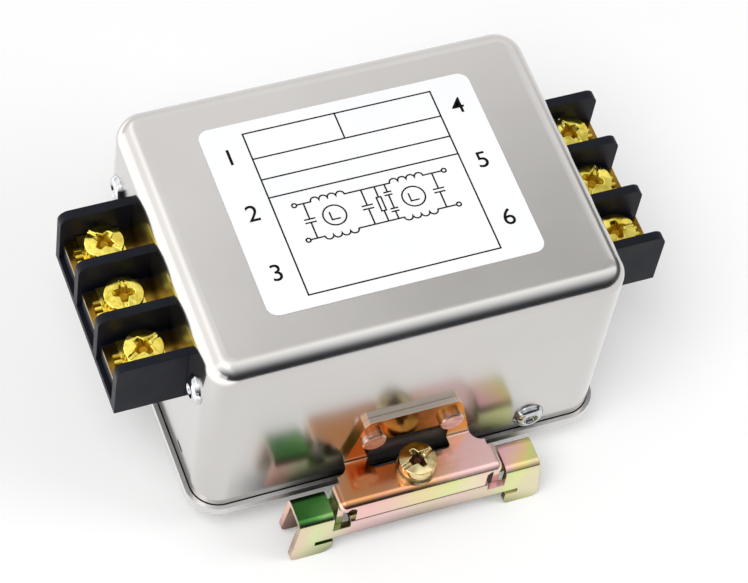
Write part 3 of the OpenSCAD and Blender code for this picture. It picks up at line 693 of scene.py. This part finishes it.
@as_material
def ceiling_falloff(tree, where):
    """What polished metal sees overhead: bright to the left, dim to the right and in front."""
    axis = add(tree, "ShaderNodeSeparateXYZ", {"Vector": where}).outputs
    # a dim patch that runs on to the right
    held = add(tree, "ShaderNodeVectorMath", {0: where, 1: (0.17, 9.0, 9.0)}, operation="MINIMUM")
    away = add(tree, "ShaderNodeVectorMath", {0: held, 1: (0.17, 0.14, CARD_TOP)}, operation="DISTANCE")
    level = add(tree, "ShaderNodeMapRange",
                {"Value": away.outputs["Value"], "From Min": 0.06, "From Max": 0.14,
                 "To Min": 0.62, "To Max": 1.1})
    # a bright ridge above the front edge, a bright band on the left, and a dimmer one beyond it
    for key, low, high, at_low in (("Y", 0.0, 0.07, 1.25), ("X", -0.19, -0.06, 1.5), ("X", -0.36, -0.24, 0.82)):
        band = add(tree, "ShaderNodeMapRange",
                   {"Value": axis[key], "From Min": low, "From Max": high, "To Min": at_low, "To Max": 1.0},
                   interpolation_type="SMOOTHSTEP")
        level = add(tree, "ShaderNodeMath", {0: level, 1: band}, operation="MULTIPLY")
    depth = add(tree, "ShaderNodeMapRange", {"Value": axis["Y"], "From Min": -0.9, "From Max": 0.1})
    front = add(tree, "ShaderNodeValToRGB", {"Fac": depth},
                [(0.0, "#38393C"), (0.25, "#46474A"), (0.45, "#707276"), (0.64, "#B9BBBE"),
                 (0.756, "#E4E5E6"), (0.86, WHITE)])
    return add(tree, "ShaderNodeEmission", {"Color": front, "Strength": level})


def flat_sheet(name, material, corners):
    mesh = bpy.data.meshes.new(name)
    mesh.from_pydata(corners, [], [(0, 1, 2, 3)])
    mesh.materials.append(material)
    sheet = bpy.data.objects.new(name, mesh)
    bpy.context.scene.collection.objects.link(sheet)
    return sheet


def level_sheet(name, material, x0, x1, y0, y1, z):
    return flat_sheet(name, material, [(x0, y0, z), (x1, y0, z), (x1, y1, z), (x0, y1, z)])


def upright_sheet(name, material, x0, y0, x1, y1, low):
    return flat_sheet(name, material, [(x0, y0, low), (x1, y1, low), (x1, y1, CARD_TOP), (x0, y0, CARD_TOP)])


def studio_world(fill):
    """White for what is seen or mirrored, and an even fill for what is lit."""
    world = bpy.data.worlds.new("studio")
    world.use_nodes = True
    tree = world.node_tree
    tree.nodes.clear()
    ray = add(tree, "ShaderNodeLightPath").outputs
    sharp = add(tree, "ShaderNodeMath", {0: ray["Is Camera Ray"], 1: ray["Is Glossy Ray"]}, operation="MAXIMUM")
    sharp = add(tree, "ShaderNodeMath", {0: sharp, 1: ray["Is Transmission Ray"]}, operation="MAXIMUM")
    soft, white = (add(tree, "ShaderNodeBackground", {"Color": linear(WHITE), "Strength": strength})
                   for strength in (fill, 1.0))
    mix = add(tree, "ShaderNodeMixShader", {0: sharp, 1: soft, 2: white})
    add(tree, "ShaderNodeOutputWorld", {"Surface": mix})
    return world


# ---------------------------------------------------------------- operators

class FILTER_OT_stage(bpy.types.Operator):
    """Lays the pale floor, sets the soft lamps and places the camera"""
    bl_idname = "filter.stage"
    bl_label = "Stage and Camera"

    def execute(self, context):
        s = context.scene.filter_stage
        scene = context.scene
        lo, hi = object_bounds()
        scene.view_settings.view_transform = "Standard"
        half, z = s.floor_size / 2, lo.z
        paper = white_paper_floor("white_paper_floor", s.floor_colour)
        floor = level_sheet("floor", paper, -half, half, -half, half, z)
        floor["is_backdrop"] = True

        # above, and upright round it: the unlit room in front and to the right, a tall softbox to the left,
        # and a small bright lamp face for sparkle on the screws and folds
        far = CARD_REACH
        cards = (
            level_sheet("ceiling_card", ceiling_falloff("ceiling_falloff"), -far, far, far, -far, CARD_TOP),
            upright_sheet("room_in_front", glowing("room_in_front", "#38393C", 1.0), -0.7, -far, far, -far, z),
            upright_sheet("room_to_the_right", glowing("room_to_the_right", "#5A5C60", 1.0),
                          far, -far, far, 0.5, z),
            upright_sheet("left_softbox", glowing("left_softbox", WHITE, 1.75), -far, -0.5, -far, far, z),
            level_sheet("spark_card", glowing("spark_lamp", WHITE, 5.0), -0.24, -0.14, -0.03, -0.11, 0.39),
        )
        for card in cards:
            card.visible_camera = False
            card.visible_diffuse = False
            card.visible_shadow = False
            card.visible_transmission = False
            card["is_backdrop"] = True
        scene.world = studio_world(s.fill_level)

        for name, place, size, power in (
            ("key_box", (-0.35, -0.25, 0.75), 0.5, 3.8),
            ("side_box", (0.7, -0.35, 0.5), 0.4, 2.2),
        ):
            lamp = bpy.data.lights.new(name, "AREA")
            lamp.shape = "SQUARE"
            lamp.size = size
            lamp.energy = power
            holder = bpy.data.objects.new(name, lamp)
            holder.location = place
            holder.rotation_euler = (Vector((0, 0, 0.02)) - Vector(place)).to_track_quat("-Z", "Y").to_euler()
            holder.visible_glossy = False
            scene.collection.objects.link(holder)

        lens = bpy.data.cameras.new("camera")
        lens.lens = s.focal_length
        lens.sensor_width = 36.0
        lens.shift_y = -0.00498
        lens.clip_start = 0.01
        camera = bpy.data.objects.new("camera", lens)
        camera.location = (-0.14420, -0.25963, 0.45578)
        camera.rotation_euler = Euler([math.radians(v) for v in (33.5326, -6.3930, -20.1878)], "XYZ")
        scene.collection.objects.link(camera)
        scene.camera = camera
        return {"FINISHED"}


class FILTER_OT_can_finish(bpy.types.Operator):
    """Plates the drawn can and its base cover"""
    bl_idname = "filter.can_finish"
    bl_label = "Can and Cover"

    def execute(self, context):
        s = context.scene.filter_finish
        dress("drawn_can", plated_drawn_steel("plated_drawn_steel", s.can))
        # the cover's plating is duller than the can's
        dress("base_cover", plated_drawn_steel("plated_cover_steel", "#DDDCDA", 0.55))
        return {"FINISHED"}


class FILTER_OT_rivets(bpy.types.Operator):
    """Sets the blind rivets of the terminal blocks and of the earth lead"""
    bl_idname = "filter.rivets"
    bl_label = "Blind Rivets"

    def execute(self, context):
        s = context.scene.filter_finish
        metal = bright_metal("plain_aluminium_rivet", s.aluminium, "#B4B6BA", 0.13, 900.0, 0.03)
        flange_r, rise, shank_r = 2.65 * MM, 1.25 * MM, 1.6 * MM
        # the CAD's rivet heads are this high
        cad_rise = 0.9 * MM
        lo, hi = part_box("block_rivets")
        one = blind_rivet_mesh("block_rivet", flange_r, rise, shank_r, 1.4 * MM)
        one.transform(Matrix.Rotation(math.radians(90), 4, "Y"))
        blocks = grow(bpy.data.objects.new("set_block_rivets", one), terminal_repeat_tree(), {
            "Poles": 2, "Pole Pitch": hi.y - lo.y - 2 * flange_r, "End Span": 2 * (hi.x - cad_rise),
            "Seat Height": (lo.z + hi.z) / 2, "End Turn": math.pi, "Finish": metal})
        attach(blocks, BODY)
        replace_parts(blocks, "block_rivets")

        lo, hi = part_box("earth_rivet")
        data = blind_rivet_mesh("earth_blind_rivet", 2.85 * MM, rise, shank_r, 1.6 * MM)
        seat = Matrix.Translation(((lo.x + hi.x) / 2, lo.y + cad_rise, (lo.z + hi.z) / 2))
        data.transform(seat @ Matrix.Rotation(math.radians(90), 4, "X"))
        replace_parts(new_mesh_object("set_earth_rivet", data, metal), "earth_rivet")
        return {"FINISHED"}


class FILTER_OT_label_print(bpy.types.Operator):
    """Prints the white label with its frame, circuit and terminal numbers"""
    bl_idname = "filter.label_print"
    bl_label = "Label Print"

    def execute(self, context):
        s = context.scene.filter_label
        lo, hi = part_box("rating_label")
        r = s.corner_radius
        left, right, near, far = lo.x + r, hi.x - r, lo.y + r, hi.y - r
        outline = []
        for cx, cy, start in ((right, near, -90), (right, far, 0), (left, far, 90), (left, near, 180)):
            outline += arc(cx, cy, r, start, start + 90, 10)
        film = bmesh.new()
        low_ring, top_ring = ([film.verts.new((x, y, z)) for x, y in outline] for z in (lo.z, hi.z))
        film.faces.new(low_ring[::-1])
        film.faces.new(top_ring)
        for i in range(len(outline)):
            j = (i + 1) % len(outline)
            film.faces.new((low_ring[i], low_ring[j], top_ring[j], top_ring[i])).material_index = 1
        data = closed_mesh("label_film", film)
        label = new_mesh_object("label_film", data, printed_film("white_label_film"))
        # painted shade: the film's sides are grey-brown, as the shade along the label's edge
        data.materials.append(coated("shaded_film_edge", "#A39C92", "#8E867B", 0.6, 400.0))
        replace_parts(label, "rating_label")

        ink = black_ink("black_label_ink")
        mid = (lo + hi) / 2
        mesh = bmesh.new()
        for closed, lines in enumerate(label_lines()):
            for points in lines:
                placed = [(mid.x + x * MM, mid.y + y * MM) for x, y in points]
                ribbon(mesh, placed, s.line_width, hi.z, s.ink_thickness, bool(closed))
        bmesh.ops.recalc_face_normals(mesh, faces=mesh.faces)
        new_mesh_object("label_print", closed_mesh("label_print", mesh), ink)

        marks = bmesh.new()
        for text, x, y in numerals():
            curve = bpy.data.curves.new("number", "FONT")
            curve.body = text
            curve.align_x = "CENTER"
            curve.align_y = "CENTER"
            # a numeral is about 1 / 1.4 of its font's size
            curve.size = s.numeral_height * 1.4
            curve.extrude = s.ink_thickness / 2
            curve.offset = 0.015 * MM
            holder = bpy.data.objects.new("number", curve)
            context.scene.collection.objects.link(holder)
            context.view_layer.update()
            part = bpy.data.meshes.new_from_object(holder.evaluated_get(context.evaluated_depsgraph_get()))
            part.transform(Matrix.Translation((mid.x + x * MM, mid.y + y * MM, hi.z + s.ink_thickness / 2)))
            marks.from_mesh(part)
            bpy.data.objects.remove(holder)
            bpy.data.curves.remove(curve)
            bpy.data.meshes.remove(part)
        bmesh.ops.remove_doubles(marks, verts=marks.verts, dist=1e-7)
        new_mesh_object("terminal_numbers", closed_mesh("terminal_numbers", marks), ink)
        return {"FINISHED"}


class FILTER_OT_block_finish(bpy.types.Operator):
    """Finishes the terminal blocks, strips and clamp plates"""
    bl_idname = "filter.block_finish"
    bl_label = "Terminal Blocks"

    def execute(self, context):
        s = context.scene.filter_finish
        terminals = context.scene.filter_screws
        black = moulded_thermoset("black_moulded_thermoset", s.moulding)
        strip = bright_metal("rolled_brass_strip", s.brass, "#7A5A1E", 0.17, 260.0, 0.03)
        for end in ("line", "load"):
            dress(end + "_terminal_block", black)
            for pole in ("phase", "earth", "neutral"):
                dress(f"{end}_{pole}_strip", strip)
        gold = bright_metal("yellow_passivated_brass", s.gold, "#CDB03C", 0.14, 420.0, 0.06)
        dress("wire_clamp_plates", gold)
        lo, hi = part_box("wire_clamp_plates")
        plate_w = 7.4 * MM
        # the teeth start inside the plate and end 1.2 mm outside it
        inner, outer = plate_w / 2 - 0.3 * MM, plate_w / 2 + 1.2 * MM
        one = plate_teeth_mesh("plate_teeth", inner, outer, 1.25 * MM, 0.6 * MM, 0.8 * MM)
        teeth = grow(bpy.data.objects.new("clamp_plate_teeth", one), terminal_repeat_tree(), {
            "Poles": terminals.poles, "Pole Pitch": terminals.pole_pitch, "End Span": hi.x - lo.x - plate_w,
            "Seat Height": lo.z, "End Turn": math.pi, "Finish": gold})
        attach(teeth, BODY)
        return {"FINISHED"}


class FILTER_OT_screws(bpy.types.Operator):
    """Sets the terminal screws and the rail clip's clamp screw"""
    bl_idname = "filter.screws"
    bl_label = "Screws"

    def execute(self, context):
        s = context.scene.filter_screws
        # the recess colour, #B48C22, is painted shade with a thinner plating
        gold = stamped_head_metal(
            "yellow_passivated_screw", context.scene.filter_finish.gold, "#CDB238", "#B48C22", 0.15)
        lo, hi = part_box("terminal_screws")
        shank = 5.0 * MM
        one = screw_mesh(
            "terminal_screw", s.head_diameter, s.head_height,
            s.recess_depth, s.slot_depth, s.thread_diameter, shank)
        screws = grow(bpy.data.objects.new("set_terminal_screws", one), terminal_repeat_tree(), {
            "Poles": s.poles, "Pole Pitch": s.pole_pitch, "End Span": hi.x - lo.x - s.head_diameter,
            "Seat Height": lo.z + shank, "First Turn": 0.5, "Turn Step": 0.9, "Finish": gold})
        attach(screws, BODY)
        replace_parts(screws, "terminal_screws")

        # the recess colour, #5A3A2A, is painted shade with a thinner plating
        chromate = stamped_head_metal("chromated_screw_zinc", "#EBDDA8", "#CDAA70", "#5A3A2A", 0.13)
        lo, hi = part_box("rail_clamp_screw")
        length, recess, turn = 9.4 * MM, 1.5 * MM, 20.0
        data = screw_mesh(
            "clamp_screw", hi.x - lo.x, s.head_height, recess, s.slot_depth, s.thread_diameter, length, turn)
        data.transform(Matrix.Translation(((lo.x + hi.x) / 2, (lo.y + hi.y) / 2, lo.z + length)))
        clamp = new_mesh_object("set_clamp_screw", data, chromate)
        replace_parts(clamp, "rail_clamp_screw")
        return {"FINISHED"}


class FILTER_OT_clip_finish(bpy.types.Operator):
    """Finishes the rail clip in iridescent chromated zinc"""
    bl_idname = "filter.clip_finish"
    bl_label = "Rail Clip"

    def execute(self, context):
        plate_up = [(0.0, "#D8A88C"), (0.08, "#E0A070"), (0.18, "#E2A068"), (0.3, "#E0A078"), (0.42, "#ECAE84"),
                    (0.52, "#F0B070"), (0.6, "#F2BC98"), (0.74, "#F4C4C0"), (0.92, "#F8D0CE"), (1.0, "#E6DEC6")]
        apron = [(0.0, "#DCD6B8"), (0.1, "#EFC0BC"), (0.3, "#EEC2B8"), (0.42, "#EACCB0"), (0.54, "#E8D8A0"),
                 (0.7, "#DDE39C"), (0.82, "#EADCB8"), (0.95, "#EFD0C0"), (1.0, "#DCE3C0")]
        tongue = [(0.0, "#C8743A"), (0.2, "#CC7C30"), (0.36, "#A06A2C"), (0.5, "#8C6420"), (0.62, "#C8882C"),
                  (0.76, "#F0BC50"), (0.88, "#EDBA68"), (1.0, "#E8B080")]
        claw_up = [(0.0, "#3E6B34"), (0.08, "#44803C"), (0.16, "#68A456"), (0.24, "#9CC078"), (0.32, "#C9C09A"),
                   (0.5, "#DDB8B0"), (0.72, "#F2B4C0"), (0.86, "#F6BEC4"), (0.92, "#F2D494"), (0.97, "#D8E28A"),
                   (1.0, "#EBCBA4")]
        claw_side = [(0.0, "#E3B4A4"), (0.05, "#E3CDB0"), (0.13, "#D6DFA8"), (0.2, "#DCD8AC"), (0.28, "#E3C0BC"),
                     (0.42, "#E4C4C2"), (0.58, "#D9CBB0"), (0.7, "#E3C6BE"), (0.8, "#D9CFAA"), (0.9, "#DDE39A"),
                     (0.96, "#E0DCA4"), (1.0, "#E0D6B0")]
        # half the length of each sheet, and the height above which a side counts as the tongue's
        half_saddle, tongue_foot = 16 * MM, 8.8 * MM
        half_channel, no_tongue = 23.5 * MM, 0.1
        dress("rail_saddle", chromated_zinc(
            "chromated_saddle_zinc", plate_up, apron, tongue, half_saddle, tongue_foot, 0.4))
        dress("rail_claw_channel", chromated_zinc(
            "chromated_channel_zinc", claw_up, claw_side, claw_side, half_channel, no_tongue, 0.5))
        dress("saddle_rivets", bright_metal("chromated_rivet_zinc", "#EBCFC4", "#CBA898", 0.3, 600.0, 0.02))
        dress("rail_lock_washer", bright_metal("chromated_washer_zinc", "#C9BFA6", "#86785A", 0.26, 620.0))
        return {"FINISHED"}


class FILTER_OT_inside_finish(bpy.types.Operator):
    """Finishes the board, chokes, capacitors, resistor and earth lead inside the can"""
    bl_idname = "filter.inside_finish"
    bl_label = "Filter Parts"

    def execute(self, context):
        dress("circuit_board", coated("solder_masked_laminate", "#2B7A45", "#1F5E35", 0.35, 420.0, 0.2))
        core = coated("epoxy_coated_ferrite", "#3E7F56", "#2B6242", 0.45, 300.0)
        wire = bright_metal("enamelled_copper_wire", "#C4622C", "#8E3F18", 0.28, 300.0)
        for end in ("line", "load"):
            dress(end + "_choke_core", core)
            dress(end + "_choke_phase_winding", wire)
            dress(end + "_choke_neutral_winding", wire)
        box = coated("moulded_capacitor_case", "#D9A92E", "#C0901E", 0.5, 500.0)
        for place in ("line", "middle", "load"):
            dress(place + "_x_capacitor", box)
        lacquer = coated("phenolic_lacquered_ceramic", "#2F6FB8", "#255A98", 0.3, 350.0, 0.6)
        dress("phase_y_capacitor", lacquer)
        dress("neutral_y_capacitor", lacquer)
        dress("bleed_resistor", coated("lacquered_resistor_body", "#CDB284", "#B89A68", 0.4, 600.0, 0.4))
        dress("earth_lead", striped_insulation("green_yellow_insulation"))
        dress("earth_ring_tag", bright_metal("tinned_brass_tag", "#CFCFCB", "#A5A39A", 0.28, 400.0))
        return {"FINISHED"}


class FILTER_PT_panel(bpy.types.Panel):
    """Lists the filter's pieces"""
    bl_idname = "FILTER_PT_panel"
    bl_label = "EMI Line Filter"
    bl_space_type = "VIEW_3D"
    bl_region_type = "UI"
    bl_category = "Line Filter"

    def draw(self, context):
        layout = self.layout
        for group in GROUPS:
            settings = getattr(context.scene, group)
            box = layout.box()
            for key in settings.__annotations__:
                box.prop(settings, key)
        for operator in OPERATORS:
            layout.operator(operator.bl_idname)


GROUPS = {
    "filter_stage": FilterStageSettings,
    "filter_finish": FilterFinishSettings,
    "filter_label": FilterLabelSettings,
    "filter_screws": FilterScrewSettings,
}
OPERATORS = (
    FILTER_OT_stage,
    FILTER_OT_can_finish,
    FILTER_OT_rivets,
    FILTER_OT_label_print,
    FILTER_OT_block_finish,
    FILTER_OT_screws,
    FILTER_OT_clip_finish,
    FILTER_OT_inside_finish,
)


def register():
    for group in GROUPS.values():
        bpy.utils.register_class(group)
    for operator in OPERATORS:
        bpy.utils.register_class(operator)
    bpy.utils.register_class(FILTER_PT_panel)
    for name, group in GROUPS.items():
        setattr(bpy.types.Scene, name, bpy.props.PointerProperty(type=group))


def unregister():
    for name in GROUPS:
        delattr(bpy.types.Scene, name)
    bpy.utils.unregister_class(FILTER_PT_panel)
    for operator in reversed(OPERATORS):
        bpy.utils.unregister_class(operator)
    for group in reversed(GROUPS.values()):
        bpy.utils.unregister_class(group)


def main():
    register()
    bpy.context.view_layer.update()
    for operator in OPERATORS:
        group, name = operator.bl_idname.split(".")
        getattr(getattr(bpy.ops, group), name)()


if __name__ == "__main__":
    main()
